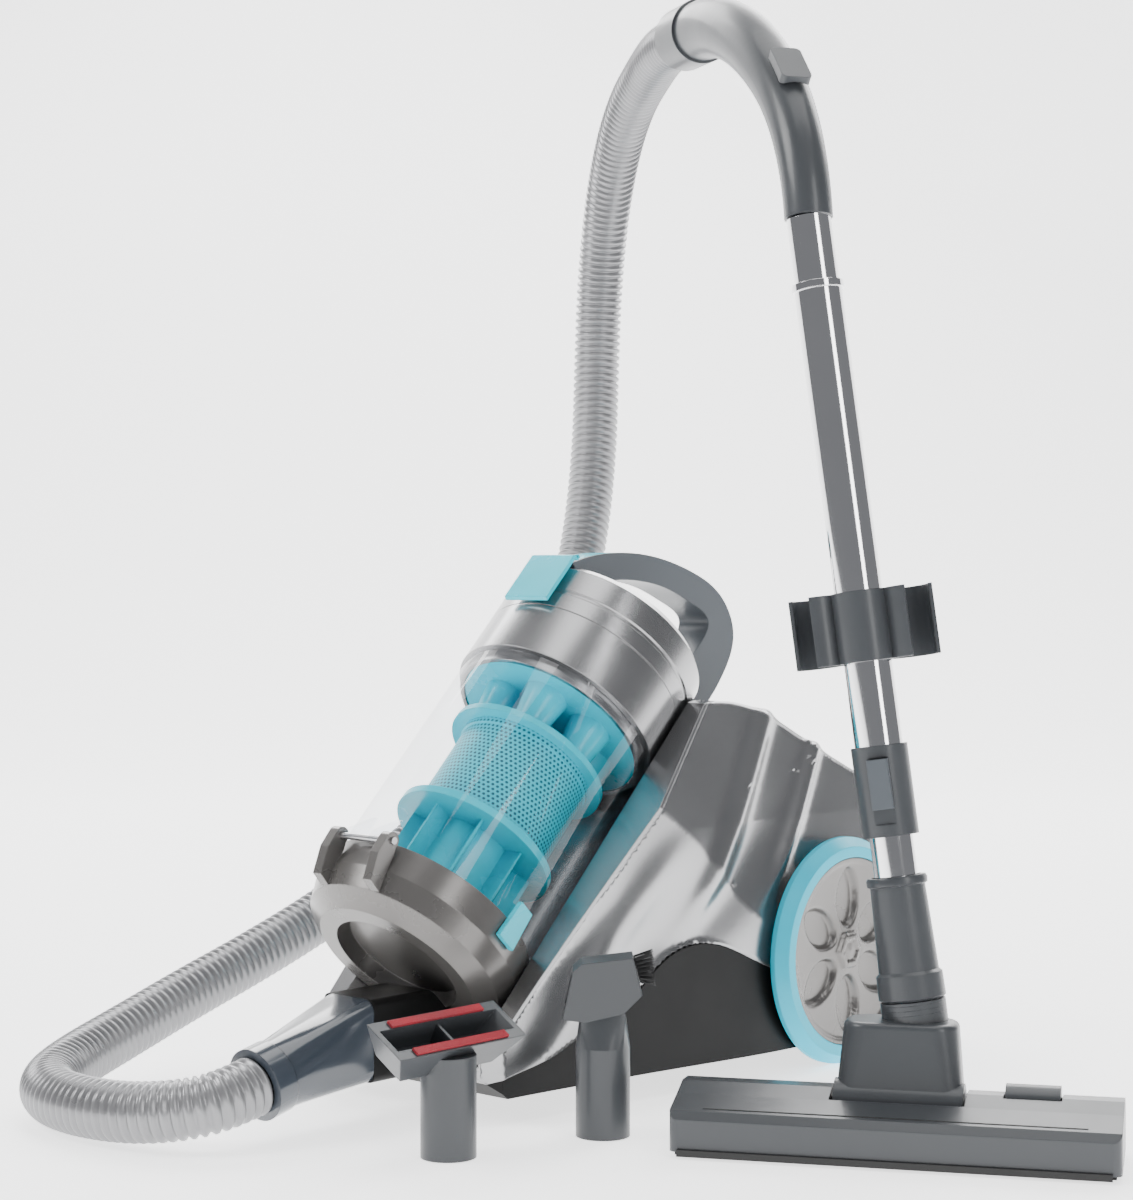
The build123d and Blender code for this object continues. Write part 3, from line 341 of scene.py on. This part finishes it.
# ------------------------------------------------------------------ mesh helpers
def new_object(name, verts, faces, material, smooth=True, matrix=None):
    mesh = bpy.data.meshes.new(name)
    mesh.from_pydata([tuple(v) for v in verts], [], faces)
    mesh.validate()
    mesh.materials.append(material)
    obj = bpy.data.objects.new(name, mesh)
    bpy.context.collection.objects.link(obj)
    if matrix is not None:
        obj.matrix_world = matrix
    if smooth:
        mesh.polygons.foreach_set("use_smooth", [True] * len(mesh.polygons))
    return obj


def lathe(profile, steps):
    """Vertices and faces of a profile (radius, height) turned once round Z."""
    verts, faces = [], []
    for k in range(steps):
        a = 2 * math.pi * k / steps
        verts += [(r * math.cos(a), r * math.sin(a), h) for r, h in profile]
    n = len(profile)
    for k in range(steps):
        a, b = k * n, ((k + 1) % steps) * n
        for i in range(n - 1):
            faces.append((a + i, b + i, b + i + 1, a + i + 1))
    return verts, faces


def bin_matrix(t):
    """Local Z along the bin's axis, t above its foot; local Y points back and down."""
    s, c = math.sin(LEAN), math.cos(LEAN)
    matrix = Matrix(((1, 0, 0), (0, c, s), (0, -s, c))).to_4x4()
    matrix.translation = CAN + Vector((0, BIN_Y + t * s, BIN_Z + t * c))
    return matrix


def smooth_by_angle(obj, degrees):
    bpy.context.view_layer.objects.active = obj
    obj.select_set(True)
    bpy.ops.object.shade_smooth_by_angle(angle=math.radians(degrees))
    obj.select_set(False)


# ------------------------------------------------------------------ hose
def hose_line():
    """The hose's centreline: a smooth curve held by the points of its route."""
    points = [CAN + Vector(p) / 1000 for p in HOSE_ROUTE]
    curve = bpy.data.curves.new("hose_line", "CURVE")
    curve.dimensions = "3D"
    spline = curve.splines.new("NURBS")
    spline.points.add(len(points) - 1)
    for knot, point in zip(spline.points, points):
        knot.co = (*point, 1)
    spline.order_u = 3
    spline.use_endpoint_u = True
    spline.resolution_u = 24
    holder = bpy.data.objects.new("hose_line", curve)
    bpy.context.collection.objects.link(holder)
    mesh = bpy.data.meshes.new_from_object(holder)
    line = [v.co.copy() for v in mesh.vertices]
    bpy.data.objects.remove(holder)
    bpy.data.meshes.remove(mesh)
    return line


def even(line, count):
    """Points at even steps along a line, and the length of the line."""
    marks = [0.0]
    for a, b in zip(line, line[1:]):
        marks.append(marks[-1] + (b - a).length)
    total, result, k = marks[-1], [], 0
    for i in range(count):
        want = total * i / (count - 1)
        while k < len(line) - 2 and marks[k + 1] < want:
            k += 1
        share = (want - marks[k]) / max(marks[k + 1] - marks[k], 1e-9)
        result.append(line[k].lerp(line[k + 1], min(max(share, 0.0), 1.0)))
    return result, total


def tube_along(points, radii, sides):
    """Rings of vertices carried along a line without twist."""
    verts, faces = [], []
    normal = (points[1] - points[0]).orthogonal().normalized()
    for i, point in enumerate(points):
        ahead = points[min(i + 1, len(points) - 1)] - points[max(i - 1, 0)]
        ahead.normalize()
        normal = (normal - ahead * normal.dot(ahead)).normalized()
        other = ahead.cross(normal)
        for k in range(sides):
            a = 2 * math.pi * k / sides
            verts.append(point + (normal * math.cos(a) + other * math.sin(a)) * radii[i])
    for i in range(len(points) - 1):
        for k in range(sides):
            j = (k + 1) % sides
            a = i * sides
            faces.append((a + k, a + j, a + sides + j, a + sides + k))
    return verts, faces


def make_hose(materials):
    line, _ = even(hose_line(), HOSE_SAMPLES)
    _, total = even(line, 2)
    ribs, per_rib = round(total / HOSE_PITCH), len(RIB_WAVE)
    points, total = even(line, ribs * per_rib + 1)
    crest, valley = HOSE_DIAMETER / 2, HOSE_DIAMETER / 2 - RIB_DEPTH
    radii = [valley + (crest - valley) * RIB_WAVE[i % per_rib] for i in range(len(points))]
    verts, faces = tube_along(points, radii, HOSE_SIDES)
    hose = new_object("hose_ribbed", verts, faces, materials["hose_skin"])
    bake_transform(hose)
    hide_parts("hose")
    [tuple(p) for p in even(line, 300)[0]]


# ------------------------------------------------------------------ canister
def ease(x, low, high):
    t = min(max((x - low) / (high - low), 0.0), 1.0)
    return t * t * (3 - 2 * t)


def hump(x, middle, width):
    d = (x - middle) / width
    return math.exp(-d * d)


def flank_relief(x, y, z):
    """How far the silver flank swells or sinks at a point, from the canister's own datum."""
    side = ease(abs(x), 0.045, 0.09)
    crest = 0.16 - (0.10 + (SHELL_TOP - z) * RIDGE_SLANT)
    first = hump(y + 0.105, crest, 0.013) * ease(z, 0.10, 0.15)
    second = hump(y + 0.03, crest, 0.010) * ease(z, 0.12, 0.17)
    fold = hump(y, -0.20 - (0.15 - z) * 0.9, 0.02) * ease(0.2 - z, 0.0, 0.08)
    waist = hump(z, 0.115 + 0.12 * ease(y, -0.2, 0.05), 0.03) * ease(-y, 0.0, 0.1)
    return side * (FIRST_RIDGE * first + SECOND_RIDGE * second + FRONT_FOLD * fold - WAIST_DEPTH * waist)


def refined(node, name, edge, material):
    """A copy of a CAD piece, its long edges halved in up to MOST_CUTS rounds until none is over this."""
    mesh = frame["nodes"][node].data.copy()
    work = bmesh.new()
    work.from_mesh(mesh)
    bmesh.ops.remove_doubles(work, verts=work.verts[:], dist=WELD)
    bmesh.ops.triangulate(work, faces=work.faces[:])
    for _ in range(MOST_CUTS):
        long_edges = [e for e in work.edges if e.calc_length() > edge]
        if not long_edges:
            break
        bmesh.ops.subdivide_edges(work, edges=long_edges, cuts=1)
        bmesh.ops.triangulate(work, faces=work.faces[:])
    work.to_mesh(mesh)
    work.free()
    mesh.materials.clear()
    mesh.materials.append(material)
    obj = bpy.data.objects.new(name, mesh)
    bpy.context.collection.objects.link(obj)
    return obj


def make_shell(materials):
    """The silver shell on a finer mesh, with its flanks' ridges pushed out of it."""
    shell = refined("upper_shell", "shell_skin", SHELL_EDGE, materials["silver_shell"])
    mesh = shell.data
    normals = [v.normal.copy() for v in mesh.vertices]
    for vertex, normal in zip(mesh.vertices, normals):
        local = vertex.co - CAN
        push = flank_relief(local.x, local.y, local.z) * ease(abs(normal.x), 0.08, 0.4)
        direction = normal if normal.x * local.x > 0 else -normal
        vertex.co += Vector((direction.x, direction.y * PUSH_Y, direction.z * PUSH_Z)) * push
    mesh.update()
    smooth_by_angle(shell, 32)
    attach(shell, "canister")
    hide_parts("upper_shell")


def make_springs(materials):
    """The coil under each pedal, which a full press shortens; each is copied from its CAD piece in steel and
    keeps that length.
    """
    for name in ("power", "rewind"):
        node = f"{name}_spring"
        mesh = frame["nodes"][node].data.copy()
        mesh.materials.clear()
        mesh.materials.append(materials["steel"])
        coil = bpy.data.objects.new(f"{name}_coil", mesh)
        bpy.context.collection.objects.link(coil)
        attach(coil, "canister")
        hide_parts(node)
        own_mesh(coil)


def hub_height(r, angle):
    """Outward depth of the wheel's face: six petal recesses round a raised centre."""
    turned = angle % PETAL_SECTOR - PETAL_SECTOR / 2
    reach, flat = r * math.sin(abs(turned)), r * math.cos(turned)
    along = min(max((r - PETAL_START) / PETAL_LENGTH, 0.0), 1.0)
    half = PETAL_HALF * math.sin(math.pi * along) ** 0.6
    petal = ease(half - reach, -0.0012, 0.0016) * ease(r, 0.017, 0.021) * (1 - ease(r, 0.0625, 0.0655))
    dish = -DISH_DEPTH * math.sin(math.pi * min(r / HUB_R, 1.0))
    boss = BOSS_HEIGHT * ease(BOSS_HALF - flat, 0.0, 0.0012)
    dimple = DIMPLE_DEPTH * ease(DIMPLE_HALF - flat, 0.0, 0.0008)
    rim = RIM_HEIGHT * ease(r, 0.066, 0.068)
    return dish + (boss - dimple) + rim - PETAL_DEPTH * petal


def make_hubs(materials):
    """Both rear hubs: the petalled face, its rim down to the wheel, and a plate behind it."""
    rings, spokes = HUB_RINGS, HUB_SPOKES
    for name, sign in (("left", 1), ("right", -1)):
        verts, faces = [(0, 0, hub_height(0, 0))], []
        for i in range(1, rings + 1):
            r = HUB_R * i / rings
            for k in range(spokes):
                a = 2 * math.pi * k / spokes
                verts.append((r * math.cos(a), r * math.sin(a), hub_height(r, a)))
        last = len(verts)
        for k in range(spokes):
            a = 2 * math.pi * k / spokes
            verts.append((HUB_R * math.cos(a), HUB_R * math.sin(a), -HUB_DEPTH))
        for k in range(spokes):
            j = (k + 1) % spokes
            faces.append((0, 1 + k, 1 + j))
            for i in range(rings - 1):
                a, b = 1 + i * spokes, 1 + (i + 1) * spokes
                faces.append((a + k, b + k, b + j, a + j))
            edge = 1 + (rings - 1) * spokes
            faces.append((edge + k, last + k, last + j, edge + j))
        across = Vector((sign, 0, 0))
        turn = across.to_track_quat("Z", "Y").to_matrix().to_4x4()
        turn.translation = CAN + Vector((sign * HUB_FACE_X, 0, WHEEL_R))
        hub = new_object(f"hub_face_{name}", verts, faces, materials["warm_grey"], matrix=turn)
        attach(hub, f"wheel_{name}")
        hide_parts(f"hub_{name}")
        back, back_faces = lathe([(BORE_R, 0.0), (PLATE_R, 0.0), (PLATE_R, PLATE_DEPTH)], 90)
        turn_back = turn.copy()
        turn_back.translation = CAN + Vector((sign * HUB_BACK_X, 0, WHEEL_R))
        plate = new_object(f"hub_back_{name}", back, back_faces, materials["warm_grey"],
                           matrix=turn_back)
        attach(plate, f"wheel_{name}")


# ------------------------------------------------------------------ dust bin
def make_shroud(materials):
    """The perforated drum inside the clear bin; its holes are painted shade on a solid skin."""
    skin = perforated("shroud_skin", CYAN, HOLE_SHADE_CYAN, HOLE_PITCH, DRUM_R, HOLE_SHARE)
    profile = [
        (DRUM_BORE_R, 0.0), (DRUM_RIM_R, 0.0), (DRUM_RIM_R, 0.004), (DRUM_R, 0.0045), (DRUM_R, 0.0695),
        (DRUM_RIM_R, 0.07), (DRUM_RIM_R, DRUM_TOP), (DRUM_BORE_R, DRUM_TOP),
    ]
    verts, faces = lathe(profile, 144)
    shroud = new_object("shroud_drum", verts, faces, skin, matrix=bin_matrix(DRUM_FOOT))
    smooth_by_angle(shroud, 35)
    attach(shroud, "cyclone_pack")
    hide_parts("mesh_shroud")


def make_cup(materials):
    """The clear cylinder as one clean skin, with the two lugs that hold its hinge pin."""
    clear_skin = materials["clear_plastic"]
    matrix = bin_matrix(0.0)
    verts, faces = lathe([(CUP_FOOT_R, CUP_LOW), (CUP_R, CUP_LOW), (CUP_R, CUP_TOP)], 160)
    cup = new_object("cup_skin", verts, faces, clear_skin, matrix=matrix)
    smooth_by_angle(cup, 35)
    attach(cup, "dust_bin")
    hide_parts("clear_bin")
    for name, x in (("left", LUG_X), ("right", -LUG_X)):
        corners = [matrix @ Vector((x + dx, v, t)) for dx in (-LUG_HALF, LUG_HALF) for v, t in LUG_SECTION]
        bar(f"hinge_lug_{name}", corners, clear_skin, "dust_bin")


# ------------------------------------------------------------------ wand trim
def wand_matrix(along):
    """Local Z along the wand, at this distance above its foot."""
    matrix = WAND_DIR.to_track_quat("Z", "Y").to_matrix().to_4x4()
    matrix.translation = WAND_FOOT + WAND_DIR * along
    return matrix


def make_elbow_trim(materials):
    """The lip at the elbow's top, its band and the ribbed swivel under it."""
    ribs = [(SWIVEL_R + SWIVEL_RIB * (k % 2), SWIVEL_LOW + SWIVEL_STEP * k) for k in range(SWIVEL_RINGS)]
    grey = materials["grey_plastic"]
    for name, profile, along, body in (("elbow_lip", LIP_PROFILE, LIP_ALONG, "canister"),
                                       ("elbow_band", BAND_PROFILE, 0.0, "canister"),
                                       ("swivel_ribs", ribs, 0.0, "neck")):
        verts, faces = lathe(profile, 96)
        piece = new_object(name, verts, faces, grey, matrix=wand_matrix(along))
        smooth_by_angle(piece, 40)
        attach(piece, body)


# ------------------------------------------------------------------ floor head and tools
def head_point(x, y, z):
    return HEAD_FRONT + HEAD_RIGHT * x + HEAD_BACK * y + Vector((0, 0, z))


def bar(name, corners, material, body):
    """A solid with eight corners: four below, then four above."""
    faces = [(3, 2, 1, 0), (4, 5, 6, 7), (0, 1, 5, 4), (1, 2, 6, 5), (2, 3, 7, 6), (3, 0, 4, 7)]
    obj = new_object(name, corners, faces, material, smooth=False)
    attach(obj, body)


def strip(half, front, back):
    """Plan corners of a strip that runs across the floor head."""
    return ((-half, front), (half, front), (half, back), (-half, back))


def make_head_trim(materials):
    """The seal along the floor head's front edge, and the crease across its deck as a thin dark strip of
    painted shade.
    """
    seal = [head_point(x, y, z) for z in (SEAL_LOW, SEAL_TOP) for x, y in strip(SEAL_HALF, SEAL_FRONT, 0.0)]
    bar("front_seal", seal, materials["rubber"], "head")
    # The crease is painted shade: a thin raised strip in the dark rubber finish stands for the groove.
    outline = strip(CREASE_HALF, CREASE_FRONT, CREASE_BACK)
    crease = [head_point(x, y, z + DECK_SLOPE * (y - DECK_START)) for z in (CREASE_LOW, CREASE_TOP)
              for x, y in outline]
    bar("deck_crease_shade", crease, materials["rubber"], "head")


def strands(name, roots, tips, radius, material, body):
    """A tuft: one thin four-sided spike for each pair of root and tip."""
    verts, faces = [], []
    for root, tip in zip(roots, tips):
        along = (tip - root).normalized()
        u = along.orthogonal().normalized()
        w = along.cross(u)
        base = len(verts)
        for point, size in ((root, radius), (tip, radius * 0.5)):
            verts += [point + u * size, point + w * size, point - u * size, point - w * size]
        for k in range(4):
            j = (k + 1) % 4
            faces.append((base + k, base + j, base + 4 + j, base + 4 + k))
        faces.append((base + 4, base + 5, base + 6, base + 7))
    obj = new_object(name, verts, faces, material, smooth=False)
    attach(obj, body)
    return obj


def make_duster_bristles(materials):
    """The dusting tool's tuft, in loose rows; each strand draws its row, root and tip in turn."""
    roots, tips = [], []
    for column in range(TUFT_COLUMNS):
        for row in range(TUFT_ROWS):
            for _ in range(TUFT_STRANDS):
                u = column / (TUFT_COLUMNS - 1)
                s = (row + random.uniform(-0.3, 0.3)) / (TUFT_ROWS - 1)
                side = (s - 0.5) * TUFT_WIDTH
                root, tip = FIRST_ROOT.lerp(LAST_ROOT, u), FIRST_TIP.lerp(LAST_TIP, u)
                root.z += random.uniform(-0.0006, 0.0006)
                tip.x += random.uniform(-0.0012, 0.0004)
                roots.append(DUSTER_AT + DUSTER_ACROSS * root.x + DUSTER_NORMAL * side
                             + Vector((0, 0, root.z)))
                tips.append(DUSTER_AT + DUSTER_ACROSS * tip.x + DUSTER_NORMAL * side * TUFT_FLARE
                            + Vector((0, 0, tip.z)))
    tuft = strands("duster_tuft", roots, tips, STRAND_R, materials["bristle"], "duster")
    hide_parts("duster_bristles")


# ------------------------------------------------------------------ studio
def make_studio():
    """A bright white sweep, five soft lamps and a faint world light."""
    material, tree, out = nodes_of("studio_white")
    surface = tree.nodes.new("ShaderNodeBsdfPrincipled")
    slow = add_noise(tree, 1.5)
    tree.links.new(mixed(tree, slow, (0.88, 0.88, 0.885), (0.9, 0.9, 0.9)), surface.inputs["Base Color"])
    surface.inputs["Roughness"].default_value = 0.75
    tree.links.new(surface.outputs["BSDF"], out.inputs["Surface"])
    surface.inputs["Emission Color"].default_value = (1, 1, 1, 1)
    surface.inputs["Emission Strength"].default_value = 1.8
    turn = Matrix.Rotation(VIEW_TURN, 3, "Z")
    rows = [(FLOOR_FRONT, 0.0), (FLOOR_BACK, 0.0)]
    for k in range(1, 9):
        a = math.pi / 16 * k
        rows.append((FLOOR_BACK + CURVE_R * math.sin(a), CURVE_R - CURVE_R * math.cos(a)))
    rows.append((WALL_Y, WALL_TOP))
    verts = [turn @ Vector((x, y, z - FLOOR_DROP)) for y, z in rows for x in (-HALF_WIDTH, HALF_WIDTH)]
    faces = [(2 * i, 2 * i + 1, 2 * i + 3, 2 * i + 2) for i in range(len(rows) - 1)]
    mesh = bpy.data.meshes.new("backdrop")
    mesh.from_pydata(verts, [], faces)
    mesh.materials.append(material)
    mesh.polygons.foreach_set("use_smooth", [True] * len(mesh.polygons))
    backdrop = bpy.data.objects.new("backdrop", mesh)
    bpy.context.collection.objects.link(backdrop)
    lamps = [
        ("key", (-1.5, -1.9, 2.3), (1.3, 1.3), 60), ("fill", (2.3, -0.6, 1.4), (0.7, 1.8), 24),
        ("top", (0.1, 0.3, 2.9), (2.2, 2.2), 50), ("back", (-0.8, 2.4, 2.2), (2.6, 1.2), 60),
        ("wall", (-2.6, 1.0, 2.6), (1.5, 1.5), 60),
    ]
    for name, place, size, power in lamps:
        data = bpy.data.lights.new(name, "AREA")
        data.shape = "RECTANGLE"
        data.size, data.size_y = size
        data.energy = power
        lamp = bpy.data.objects.new(name, data)
        bpy.context.collection.objects.link(lamp)
        lamp.location = place
        aim = LAMP_AIM - lamp.location
        lamp.rotation_euler = aim.to_track_quat("-Z", "Y").to_euler()
    world = bpy.data.worlds.new("studio")
    bpy.context.scene.world = world
    world.use_nodes = True
    background = world.node_tree.nodes["Background"]
    background.inputs["Color"].default_value = (0.93, 0.95, 1.0, 1)
    background.inputs["Strength"].default_value = 0.22


def main():
    make_camera()
    materials = make_materials()
    dress_frame(materials)
    make_hose(materials)
    make_shell(materials)
    make_springs(materials)
    make_hubs(materials)
    make_shroud(materials)
    make_cup(materials)
    make_elbow_trim(materials)
    make_head_trim(materials)
    make_duster_bristles(materials)
    make_studio()


main()
